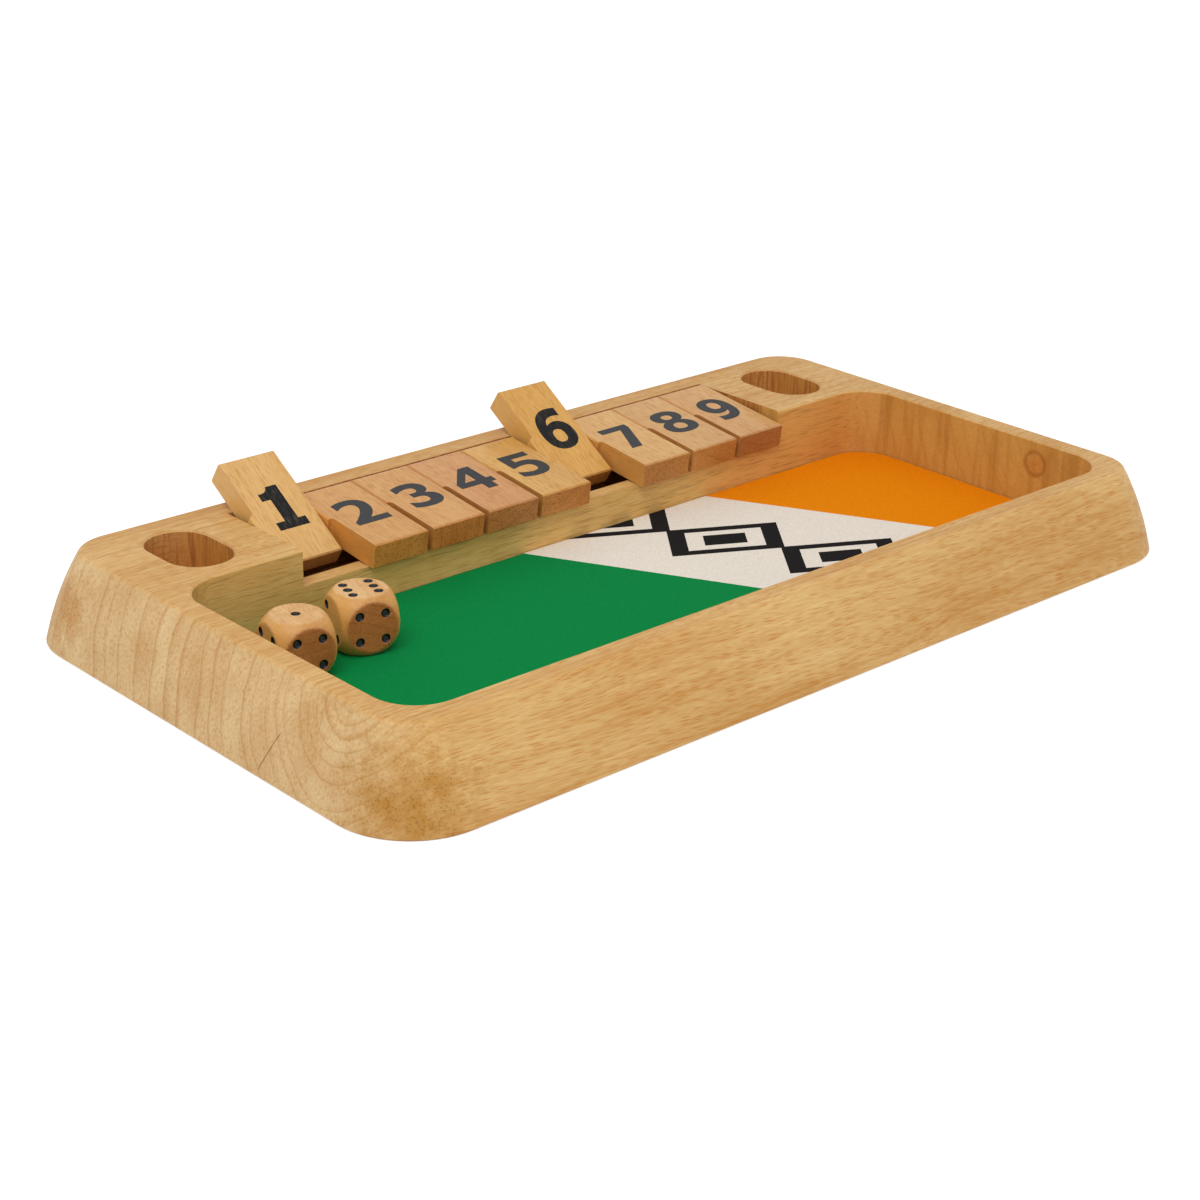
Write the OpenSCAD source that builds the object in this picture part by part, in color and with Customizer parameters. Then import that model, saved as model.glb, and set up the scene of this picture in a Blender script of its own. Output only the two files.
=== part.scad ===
// Shut the box game: nine number tiles on a steel rod, turned over one by one in a
// routed wooden block, with a felt-lined dice tray, two dice pockets and two dice.
// Millimetres. +X runs along the row of tiles, +Y to the back, +Z up.
// The origin is the middle of the underside.

/* [Block] */
// Length of the block at its top edge
block_l = 270; // [240:1:340]
// Depth of the block at its top edge, front to back
block_w = 142.7; // [130:0.1:180]
// Height of the block
block_h = 24.7; // [24:0.1:32]
// How far the sides spread outward from the top edge to the underside
flank_spread = 10; // [4:0.5:16]
// How far the middle of a side bulges past a straight slope
flank_bulge = 1; // [0.4:0.1:2]
// Radius of the block's upright corners at the top edge
corner_r = 12; // [8:0.5:18]
// Rounding of the outer top edge
top_round = 1.8; // [0.8:0.1:3]
// Broken edge along the underside
foot_bevel = 0.6; // [0.3:0.1:1.5]
// Broken edge round the mouth of each routed hollow
mouth_bevel = 0.5; // [0.2:0.1:1]

/* [Dice tray] */
// Width of the rim left in front and at both ends of the tray
rim_w = 6.4; // [4:0.2:12]
// Thickness of wood left under the tray
tray_floor_t = 3.8; // [2.5:0.1:5]
// Radius of the tray's upright corners
tray_r = 12; // [6:0.5:16]
// Thickness of the felt mat
mat_t = 0.8; // [0.5:0.1:2]
// Gap between the mat's edge and the tray's wall
mat_clearance = 0.3; // [0.1:0.1:1]

/* [Tile deck] */
// Depth of the raised deck behind the tray
deck_w = 42.2; // [38:0.1:55]
// Thickness of the rim behind the tile slot, at the top edge
rear_rim_w = 7.9; // [5:0.1:12]
// Width of the ledge that the fronts of the tiles lie on
ledge_w = 4.9; // [3:0.1:8]
// Drop from the deck to the ledge
ledge_drop = 10.2; // [9:0.1:13]
// Thickness of wood left under the tile slot
slot_floor_t = 6.5; // [4:0.5:8]

/* [Tiles] */
// Number of tiles in the row
tile_count = 9; // [4:1:12]
// Tiles that stand turned over, counted from the left
raised_tiles = [1, 6];
// Width of a tile beside the rod
tile_w = 19.4; // [16:0.1:21]
// Thickness of a tile
tile_t = 7.2; // [6:0.1:8]
// Reach of a tile from the rod to its free end
tile_reach = 24.2; // [22:0.1:26]
// Length of a tile from the rod to its tail
tile_tail = 12.2; // [10:0.1:12.5]
// Rounding of the edge that comes up at the tail of a lying tile
tail_round = 2.4; // [1:0.1:3]
// Broken edge along the tile's other edges
tile_bevel = 0.4; // [0.2:0.1:1]
// Gap between neighbouring tiles
tile_gap = 0.25; // [0.15:0.05:0.6]
// Play of the whole row, left at the right end of the slot
row_play = 0.9; // [0.2:0.1:2]
// Depth of the finger relief on the left side of a tile
relief_d = 1.35; // [0.6:0.05:2]
// Distance from the rod to the start of the relief
relief_start = 5.2; // [4:0.1:10]
// Radius in the relief's inner end, left by the cutter
relief_end_r = 1.5; // [1:0.1:3]
// Gap left where a tile lies on the ledge or leans on the rear rim
seat_gap = 0.1; // [0.05:0.05:0.3]

/* [Rod] */
// Diameter of the steel rod
rod_d = 3; // [2:0.1:3.6]
// Depth of the rod's axis below the deck
rod_depth = 3.9; // [3.8:0.1:5]
// Distance from the slot's rear wall forward to the rod's axis
rod_setback = 12.9; // [12.7:0.1:15]
// Running clearance of a tile on the rod, all round
rod_clearance = 0.07; // [0.02:0.01:0.1]
// Gap all round between the rod or a dowel and its hole in the block
hole_clearance = 0.02; // [0.01:0.01:0.05]
// Depth to which each end of the rod goes into the block
rod_grip = 7; // [5:0.5:9]

/* [Dice pockets] */
// Width of a pocket
pocket_w = 18; // [17:0.1:20]
// Length of a pocket, front to back
pocket_l = 27.4; // [21:0.1:30]
// Depth of a pocket
pocket_depth = 14; // [8:0.5:18]
// Distance from the end of the tile slot to the middle of a pocket
pocket_offset = 21.7; // [18:0.1:28]
// Distance from the block's rear top edge to the middle of a pocket
pocket_setback = 22.3; // [20:0.1:24]

/* [Dice] */
// Edge length of a die
die_size = 16; // [12:0.5:17.5]
// Diameter of the ball that rounds off a die's corners
die_ball_d = 21; // [19:0.1:22]
// Distance of an outer pip from the middle of a face
pip_offset = 3.5; // [3:0.1:3.8]
// Diameter of a drilled pip at the surface
pip_d = 2.5; // [1.8:0.1:2.8]
// Diameter of a pip at its bottom
pip_floor_d = 1.6; // [1:0.1:1.7]
// Depth of a drilled pip
pip_depth = 0.6; // [0.3:0.1:1]
// Distances of the left die's middle from the tray's left wall and rear wall
left_die_place = [19.4, 24.7];
// Distances of the right die's middle from the same walls
right_die_place = [41.7, 21.8];
// How far the left die is turned
left_die_turn = -10; // [-45:1:45]
// How far the right die is turned
right_die_turn = -15; // [-45:1:45]

/* [Hidden] */

$fn = 96;
eps = 0.01;
over = 1;

pine = "#deb478";
tile_wood = "#d8a566";
die_wood = "#e0b585";
felt_green = "#12873e";

// Sides of the block: an arc from the top edge down to the underside
inner_l = block_l / 2 - corner_r;
inner_w = block_w / 2 - corner_r;
flank_top = [corner_r, block_h];
flank_foot = [corner_r + flank_spread, 0];
flank_chord = norm(flank_foot - flank_top);
flank_normal = [block_h, flank_spread] / flank_chord;
flank_r = (pow(flank_chord / 2, 2) + pow(flank_bulge, 2)) / (2 * flank_bulge);
flank_centre = (flank_top + flank_foot) / 2 - (flank_r - flank_bulge) * flank_normal;

// Rounding of the top edge, tangent to the deck and to the side's arc
round_z = block_h - top_round;
round_x = flank_centre.x + sqrt(pow(flank_r - top_round, 2) - pow(round_z - flank_centre.y, 2));
round_centre = [round_x, round_z];
round_dir = (round_centre - flank_centre) / norm(round_centre - flank_centre);
round_end = round_centre + top_round * round_dir;

// Tray and tile slot
tray_front_y = -block_w / 2 + rim_w;
deck_front_y = block_w / 2 - deck_w;
tray_l = block_l - 2 * rim_w;
tray_w = deck_front_y - tray_front_y;
tray_mid_y = (deck_front_y + tray_front_y) / 2;
slot_rear_y = block_w / 2 - rear_rim_w;
slot_front_y = deck_front_y + ledge_w;
tile_pitch = tile_w + tile_gap;
slot_l = tile_count * tile_pitch + tile_gap + row_play;
ledge_z = block_h - ledge_drop;

// Rod, and the two positions in which a tile rests
rod_y = slot_rear_y - rod_setback;
rod_z = block_h - rod_depth;
rod_l = slot_l + 2 * rod_grip;
seat_h = tile_t / 2 + seat_gap;
ledge_run = rod_y - deck_front_y;
ledge_fall = rod_z - ledge_z;
lying_turn = acos(seat_h / norm([ledge_run, ledge_fall])) - atan2(ledge_run, ledge_fall);
lean_angle = asin(seat_h / norm([rod_setback, rod_depth])) + atan2(rod_depth, rod_setback);
raised_turn = lean_angle - 180;
tile_bore_d = rod_d + 2 * rod_clearance;
block_hole_d = rod_d + 2 * hole_clearance;

// Pockets
pocket_x = slot_l / 2 + pocket_offset;
pocket_y = block_w / 2 - pocket_setback;
dowel_inner_l = pocket_x - pocket_w / 2 - rod_l / 2;
dowel_outer_x = pocket_x + pocket_w / 2;

// Pips on one face, as places in units of pip_offset
pip_grid = [
    [[0, 0]],
    [[-1, 1], [1, -1]],
    [[-1, 1], [0, 0], [1, -1]],
    [[-1, -1], [-1, 1], [1, -1], [1, 1]],
    [[-1, -1], [-1, 1], [0, 0], [1, -1], [1, 1]],
    [[-1, -1], [-1, 0], [-1, 1], [1, -1], [1, 0], [1, 1]]
];

// Half section of the block's edge: x outward from the corner's centre, y up
module flank_section() {
    difference() {
        intersection() {
            square([flank_foot.x + over, block_h]);
            translate(flank_centre) circle(r = flank_r);
        }
        difference() {
            polygon([
                round_centre,
                [round_centre.x, block_h + over],
                [round_end.x + over, block_h + over],
                [round_end.x + over, round_end.y],
                round_end
            ]);
            translate(round_centre) circle(r = top_round);
        }
        polygon([
            [flank_foot.x - foot_bevel - over, -over],
            [flank_foot.x + over, -over],
            [flank_foot.x + over, foot_bevel + over]
        ]);
    }
}

// The block before anything is routed out of it
module blank() {
    translate([-inner_l, -inner_w, 0]) cube([2 * inner_l, 2 * inner_w, block_h]);
    for (side = [0:3]) {
        run = side % 2 == 0 ? inner_w : inner_l;
        reach = side % 2 == 0 ? inner_l : inner_w;
        rotate([0, 0, 90 * side]) translate([reach, run, 0]) {
            rotate([90, 0, 0]) linear_extrude(2 * run) flank_section();
            rotate_extrude(angle = 90) flank_section();
        }
    }
}

module rounded_rectangle(l, w, r) {
    square([l - 2 * r, w], center = true);
    square([l, w - 2 * r], center = true);
    for (x = [-1, 1], y = [-1, 1])
        translate([x * (l / 2 - r), y * (w / 2 - r)]) circle(r = r);
}

// The bevel along a straight pair of edges, from a hollow's width out to the surface
module mouth_section(half) {
    polygon([
        [-half, -mouth_bevel],
        [half, -mouth_bevel],
        [half + mouth_bevel, 0],
        [half + mouth_bevel, over],
        [-half - mouth_bevel, over],
        [-half - mouth_bevel, 0]
    ]);
}

// The same bevel round a corner
module mouth_corner(r) {
    translate([0, 0, -mouth_bevel]) cylinder(h = mouth_bevel, r1 = r, r2 = r + mouth_bevel);
    cylinder(h = over, r = r + mouth_bevel);
}

// The tray, routed down from the deck with upright walls and round corners
module tray_hollow() {
    run_l = tray_l - 2 * tray_r;
    run_w = tray_w - 2 * tray_r;
    translate([0, tray_mid_y, block_h]) {
        translate([0, 0, tray_floor_t - block_h])
            linear_extrude(block_h) rounded_rectangle(tray_l, tray_w, tray_r);
        rotate([90, 0, 90]) linear_extrude(run_l, center = true) mouth_section(tray_w / 2);
        rotate([90, 0, 0]) linear_extrude(run_w, center = true) mouth_section(tray_l / 2);
        for (x = [-1, 1], y = [-1, 1])
            translate([x * run_l / 2, y * run_w / 2, 0]) mouth_corner(tray_r);
    }
}

// A pocket for a die at one end of the deck, round at its front and back
module pocket_hollow(side) {
    run = pocket_l - pocket_w;
    translate([side * pocket_x, pocket_y, block_h]) {
        translate([-pocket_w / 2, -run / 2, -pocket_depth])
            cube([pocket_w, run, pocket_depth + over]);
        rotate([90, 0, 0]) linear_extrude(run, center = true) mouth_section(pocket_w / 2);
        for (y = [-run / 2, run / 2]) translate([0, y, 0]) {
            translate([0, 0, -pocket_depth]) cylinder(h = pocket_depth + over, d = pocket_w);
            mouth_corner(pocket_w / 2);
        }
    }
}

// A round bar along the rod's axis
module along_rod(from, length, d) {
    translate([from, rod_y, rod_z]) rotate([0, 90, 0]) cylinder(h = length, d = d);
}

module block() {
    color(pine) difference() {
        blank();
        tray_hollow();
        translate([-slot_l / 2, deck_front_y - over, ledge_z])
            cube([slot_l, slot_rear_y - deck_front_y + over, ledge_drop + over]);
        translate([-slot_l / 2, slot_front_y, slot_floor_t])
            cube([slot_l, slot_rear_y - slot_front_y, block_h]);
        for (side = [-1, 1]) pocket_hollow(side);
        along_rod(-rod_l / 2, rod_l / 2 + block_l, block_hole_d);
    }
}

module play_mat() {
    color(felt_green)
        translate([0, tray_mid_y, tray_floor_t])
            linear_extrude(mat_t)
                rounded_rectangle(
                    tray_l - 2 * mat_clearance,
                    tray_w - 2 * mat_clearance,
                    tray_r - mat_clearance
                );
}

module pivot_rod() {
    color("silver") along_rod(-rod_l / 2, rod_l, rod_d);
}

// Closes the drilled hole between the rod's end and the right pocket
module rod_dowel_inner() {
    color(pine) along_rod(rod_l / 2, dowel_inner_l, rod_d);
}

// Closes the same hole between the right pocket and the end of the block
module rod_dowel_outer() {
    color(pine) intersection() {
        blank();
        along_rod(dowel_outer_x, block_l, rod_d);
    }
}

// Side view of a lying tile with the rod at the origin: free end at -x, tail at +x
module tile_section() {
    h = tile_t / 2;
    b = tile_bevel;
    polygon([
        [-tile_reach, -h + b],
        [-tile_reach + b, -h],
        [tile_tail - b, -h],
        [tile_tail, -h + b],
        [tile_tail, h - tail_round],
        [tile_tail - tail_round, h - tail_round],
        [tile_tail - tail_round, h],
        [-tile_reach + b, h],
        [-tile_reach, h - b]
    ]);
    translate([tile_tail - tail_round, h - tail_round]) circle(r = tail_round);
}

// View of a lying tile from the front, with its four long edges broken
module tile_front() {
    w = tile_w / 2;
    h = tile_t / 2;
    b = tile_bevel;
    polygon([
        [b - w, -h], [w - b, -h], [w, b - h], [w, h - b],
        [w - b, h], [b - w, h], [-w, h - b], [-w, b - h]
    ]);
}

// The relief cut along the left side, from its round inner end to the free end
module relief_cut() {
    translate([relief_d - tile_w / 2 - relief_end_r, -relief_start - relief_end_r, -tile_t]) {
        cylinder(h = 2 * tile_t, r = relief_end_r);
        translate([-relief_end_r, -tile_reach, 0])
            cube([2 * relief_end_r, tile_reach, 2 * tile_t]);
    }
}

module number_tile(n) {
    turn = len(search(n, raised_tiles)) > 0 ? raised_turn : lying_turn;
    x = -slot_l / 2 + tile_gap + tile_w / 2 + (n - 1) * tile_pitch;
    color(tile_wood)
        translate([x, rod_y, rod_z]) rotate([turn, 0, 0]) difference() {
            intersection() {
                rotate([90, 0, 90]) linear_extrude(tile_w, center = true) tile_section();
                rotate([90, 0, 0]) linear_extrude(2 * tile_reach, center = true) tile_front();
            }
            rotate([0, 90, 0]) cylinder(h = tile_w + over, d = tile_bore_d, center = true);
            relief_cut();
        }
}

// The pips of one face, drilled into the top of a die
module pips(value) {
    for (at = pip_grid[value - 1])
        translate([at.x * pip_offset, at.y * pip_offset, die_size / 2 - pip_depth])
            cylinder(h = pip_depth + eps, d1 = pip_floor_d, d2 = pip_d);
}

// A die with 1 on top, 4 towards the front and 5 to the left; opposite faces add to 7
module die() {
    color(die_wood) difference() {
        intersection() {
            cube(die_size, center = true);
            sphere(d = die_ball_d);
        }
        pips(1);
        rotate([180, 0, 0]) pips(6);
        rotate([90, 0, 0]) pips(4);
        rotate([-90, 0, 0]) pips(3);
        rotate([0, -90, 0]) pips(5);
        rotate([90, 0, 90]) pips(2);
    }
}

// Sets its child down on the mat, at distances from the tray's left and rear walls
module on_mat(place) {
    translate([
        place.x - tray_l / 2,
        deck_front_y - place.y,
        tray_floor_t + mat_t + die_size / 2
    ]) children();
}

module die_left() {
    on_mat(left_die_place) rotate([0, 0, left_die_turn]) die();
}

module die_right() {
    on_mat(right_die_place) rotate([0, 180, right_die_turn]) die();
}

block();
play_mat();
pivot_rod();
rod_dowel_inner();
rod_dowel_outer();
for (n = [1:tile_count])
    number_tile(n);
die_left();
die_right();
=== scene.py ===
import math

import bmesh
import bpy
from mathutils import Euler, Matrix, Vector


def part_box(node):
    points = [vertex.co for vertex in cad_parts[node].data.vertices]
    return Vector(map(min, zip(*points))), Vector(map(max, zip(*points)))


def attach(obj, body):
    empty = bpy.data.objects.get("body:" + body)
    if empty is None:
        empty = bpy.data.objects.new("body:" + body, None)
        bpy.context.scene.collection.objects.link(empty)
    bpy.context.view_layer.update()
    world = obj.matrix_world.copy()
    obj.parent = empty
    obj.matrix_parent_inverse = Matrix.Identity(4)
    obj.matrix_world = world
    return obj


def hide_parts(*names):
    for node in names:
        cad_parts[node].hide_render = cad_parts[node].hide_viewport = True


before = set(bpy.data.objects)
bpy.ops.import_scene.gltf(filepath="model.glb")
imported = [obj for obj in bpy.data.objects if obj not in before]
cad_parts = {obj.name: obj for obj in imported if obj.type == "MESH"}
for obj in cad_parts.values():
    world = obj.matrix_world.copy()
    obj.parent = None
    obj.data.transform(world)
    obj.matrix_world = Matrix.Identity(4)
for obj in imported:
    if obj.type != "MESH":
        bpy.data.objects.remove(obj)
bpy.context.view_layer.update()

# ---- Block ---------------------------------------------------------------------------
# One slab of rubberwood, its flanks shaped and its hollows routed, then sanded and oiled.
# The trunk's heart runs along the block near its front, so rings show on both ends as
# arcs, and the long sides show short brown vessel lines along the grain.

MM = 0.001


def per_mm(*sizes):
    """How often a pattern repeats in each direction, from the size of its marks in mm."""
    return [1 / size for size in sizes]


def from_hex(code):
    """An sRGB hex colour as the linear RGBA that shaders take."""
    parts = [int(code[i:i + 2], 16) / 255 for i in (1, 3, 5)]
    return [c / 12.92 if c <= 0.04045 else ((c + 0.055) / 1.055) ** 2.4 for c in parts] + [1]


def add(tree, kind, inputs=None, **settings):
    """One shader node with its settings; an input is a value or another node's output.

    Inputs go by name or place. Of a Map Range, 1 and 2 are where it starts and ends, and 3
    and 4 what it gives there; of a Mix, 0 is the share, and the last two are what it mixes.
    """
    node = tree.nodes.new("ShaderNode" + kind)
    for key, value in settings.items():
        setattr(node, key, value)
    for key, value in (inputs or {}).items():
        if isinstance(value, bpy.types.NodeSocket):
            tree.links.new(value, node.inputs[key])
        else:
            node.inputs[key].default_value = value
    return node


def new_finish(name):
    """An empty material and its output and Principled shader, ready for its own nodes."""
    finish = bpy.data.materials.new(name)
    finish.use_nodes = True
    tree = finish.node_tree
    tree.nodes.clear()
    shader = add(tree, "BsdfPrincipled")
    add(tree, "OutputMaterial", {"Surface": shader.outputs[0]})
    return finish, tree, shader


def rubberwood(name, tones, turn, heart, ring, vessel, shift=(0, 0, 0), ring_turn=(0, 0, 0),
               ring_strength=0.4, vessel_strength=0.6, pore=0.9, pore_strength=0.5,
               streaks=0.3, end_grain=0.9, gloss=0.4, shade=None):
    """Sanded and oiled rubberwood; its grain runs along the turned x axis, and sizes are mm.

    To the eye it is straw to honey brown with a satin gloss: short dark vessel lines on the
    sides, dots and growth rings on the ends. tones are the early wood, the late wood, the
    vessels and the ends. heart is where the trunk's heart lies beside the grain, ring a year's
    growth, vessel the length and spacing of the vessel lines, and pore their spacing on the
    ends. shade is a last step of the piece's own, which is given the tree, the colour, the
    coordinates and the way the wood faces, and returns the colour.
    """
    light, dark, line_tone, ends = (from_hex(c) for c in tones)
    finish, tree, shader = new_finish(name)
    coords = add(tree, "TexCoord")
    wood = add(tree, "Mapping", {"Vector": coords.outputs["Object"], "Location": shift,
                                 "Rotation": turn, "Scale": (1000, 1000, 1000)})
    facing = add(tree, "Mapping", {"Vector": coords.outputs["Normal"], "Rotation": turn},
                 vector_type="VECTOR")
    across = add(tree, "SeparateXYZ", {0: facing.outputs[0]})
    is_end = add(tree, "Math", {0: across.outputs["X"], 1: across.outputs["X"]},
                 operation="MULTIPLY")

    # Slow bends of the grain, so that rings and fibres aren't ruled
    slow = add(tree, "Mapping", {"Vector": wood.outputs[0], "Scale": per_mm(90, 30, 30)})
    sway = add(tree, "TexNoise", {"Vector": slow.outputs[0], "Scale": 1, "Detail": 2})
    bent = add(tree, "VectorMath", {0: sway.outputs["Color"], 1: (0, 8, 8), 2: wood.outputs[0]},
               operation="MULTIPLY_ADD")

    # Growth rings round the heart: each darkens slowly outward and stops at a line. They are
    # narrow near the heart and wider outward, and ring is their width where it is measured
    measured_at, widening = 60, 0.6
    trunk = add(tree, "Mapping", {"Vector": bent.outputs[0], "Rotation": ring_turn})
    radial = add(tree, "Mapping", {"Vector": trunk.outputs[0], "Scale": (0, 1, 1),
                                   "Location": (0, -4 - heart[0], -4 - heart[1])})
    radius = add(tree, "VectorMath", {0: radial.outputs[0]}, operation="LENGTH")
    years = add(tree, "Math", {0: radius.outputs["Value"], 1: widening}, operation="POWER")
    years = add(tree, "Math", {0: years.outputs[0], 1: 100 / (ring * measured_at ** widening)},
                operation="MULTIPLY")
    season = add(tree, "TexNoise", {"W": years.outputs[0], "Scale": 0.6, "Detail": 3},
                 noise_dimensions="1D")
    years = add(tree, "Math", {0: season.outputs[0], 1: 1.6, 2: years.outputs[0]},
                operation="MULTIPLY_ADD")
    age = add(tree, "Math", {0: years.outputs[0]}, operation="FRACT")
    late = add(tree, "Math", {0: age.outputs[0], 1: 7.0}, operation="POWER")
    soft_ring = add(tree, "MapRange", {"Value": season.outputs[0], 1: 0.36, 2: 0.64,
                                       3: 0.0, 4: 0.26})
    # The line is thin on the ends, and broad and faint on the sides
    broad = add(tree, "Math", {0: age.outputs[0], 1: 3.0}, operation="POWER")
    broad = add(tree, "Math", {0: broad.outputs[0], 1: 0.45}, operation="MULTIPLY")
    line = add(tree, "Mix", {0: is_end.outputs[0], 2: broad.outputs[0], 3: late.outputs[0]})
    rings = add(tree, "Math", {0: line.outputs[0], 1: soft_ring.outputs[0]})

    # Broad patches of warmer and paler wood
    patch_at = add(tree, "Mapping", {"Vector": wood.outputs[0], "Scale": per_mm(60, 14, 14)})
    patch = add(tree, "TexNoise", {"Vector": patch_at.outputs[0], "Scale": 1, "Detail": 5})
    patch_share = add(tree, "MapRange", {"Value": patch.outputs[0], 1: 0.34, 2: 0.68,
                                         3: 0.0, 4: 0.48})

    # Fibres: long fine streaks on the sides, a fine speckle on the ends
    fibre_at = add(tree, "Mapping", {"Vector": bent.outputs[0], "Scale": per_mm(11, 0.7, 0.7)})
    fibre = add(tree, "TexNoise", {"Vector": fibre_at.outputs[0], "Scale": 1, "Detail": 3,
                                   "Roughness": 0.7})
    streak = add(tree, "MapRange", {"Value": fibre.outputs[0], 1: 0.36, 2: 0.66})

    tone = add(tree, "Math", {0: rings.outputs[0], 1: ring_strength, 2: patch_share.outputs[0]},
               operation="MULTIPLY_ADD")
    tone = add(tree, "Math", {0: streak.outputs[0], 1: streaks, 2: tone.outputs[0]},
               operation="MULTIPLY_ADD", use_clamp=True)
    colour = add(tree, "Mix", {0: tone.outputs[0], 6: light, 7: dark}, data_type="RGBA")
    end_share = add(tree, "Math", {0: is_end.outputs[0], 1: end_grain}, operation="MULTIPLY")
    late_wood_keeps = (0.62, 0.5, 0.38, 1)
    dark_ends = [c * kept for c, kept in zip(ends, late_wood_keeps)]
    end_tone = add(tree, "Mix", {0: tone.outputs[0], 6: ends, 7: dark_ends},
                   data_type="RGBA")
    colour = add(tree, "Mix", {0: end_share.outputs[0], 6: colour.outputs[2],
                               7: end_tone.outputs[2]}, data_type="RGBA")

    # Vessels: cut lengthwise they are short dark lines, 0.1 to 0.2 mm wide on the real wood.
    # That is too fine to show, so they are drawn twice as wide here, on the ends too
    long, apart = vessel
    vessel_at = add(tree, "Mapping", {"Vector": bent.outputs[0],
                                      "Scale": per_mm(long, apart, apart)})
    cells = add(tree, "TexVoronoi", {"Vector": vessel_at.outputs[0], "Scale": 1})
    core = add(tree, "MapRange", {"Value": cells.outputs["Distance"], 1: 0.28, 2: 0.5,
                                  3: 1.0, 4: 0.0})
    chosen = add(tree, "SeparateColor", {0: cells.outputs["Color"]})
    some = add(tree, "MapRange", {"Value": chosen.outputs[0], 1: -0.1, 2: 1.0})
    some = add(tree, "Math", {0: some.outputs[0], 1: vessel_strength}, operation="MULTIPLY")
    lines = add(tree, "Math", {0: core.outputs[0], 1: some.outputs[0]}, operation="MULTIPLY")
    # Cut across they are dots
    pore_at = add(tree, "Mapping", {"Vector": bent.outputs[0], "Scale": per_mm(30, pore, pore)})
    pores = add(tree, "TexVoronoi", {"Vector": pore_at.outputs[0], "Scale": 1})
    dots = add(tree, "MapRange", {"Value": pores.outputs["Distance"], 1: 0.16, 2: 0.44,
                                  3: pore_strength, 4: 0.0})
    line_share = add(tree, "Mix", {0: is_end.outputs[0], 2: lines.outputs[0],
                                   3: dots.outputs[0]})
    colour = add(tree, "Mix", {0: line_share.outputs[0], 6: colour.outputs[2], 7: line_tone},
                 data_type="RGBA")
    tint = colour.outputs[2]
    if shade:
        tint = shade(tree, tint, coords, across)
    tree.links.new(tint, shader.inputs["Base Color"])

    # Oil leaves it satin, and duller where the vessels are open and drank it
    sheen = add(tree, "MapRange", {"Value": line_share.outputs[0], 3: gloss, 4: gloss + 0.4})
    tree.links.new(sheen.outputs[0], shader.inputs["Roughness"])
    relief = add(tree, "Math", {0: streak.outputs[0], 1: 0.2, 2: line_share.outputs[0]},
                 operation="MULTIPLY_ADD")
    bump = add(tree, "Bump", {"Height": relief.outputs[0], "Strength": 0.3,
                              "Distance": 0.15 * MM}, invert=True)
    tree.links.new(bump.outputs[0], shader.inputs["Normal"])
    shader.inputs["IOR"].default_value = 1.48
    shader.inputs["Specular IOR Level"].default_value = 0.32
    return finish


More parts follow.
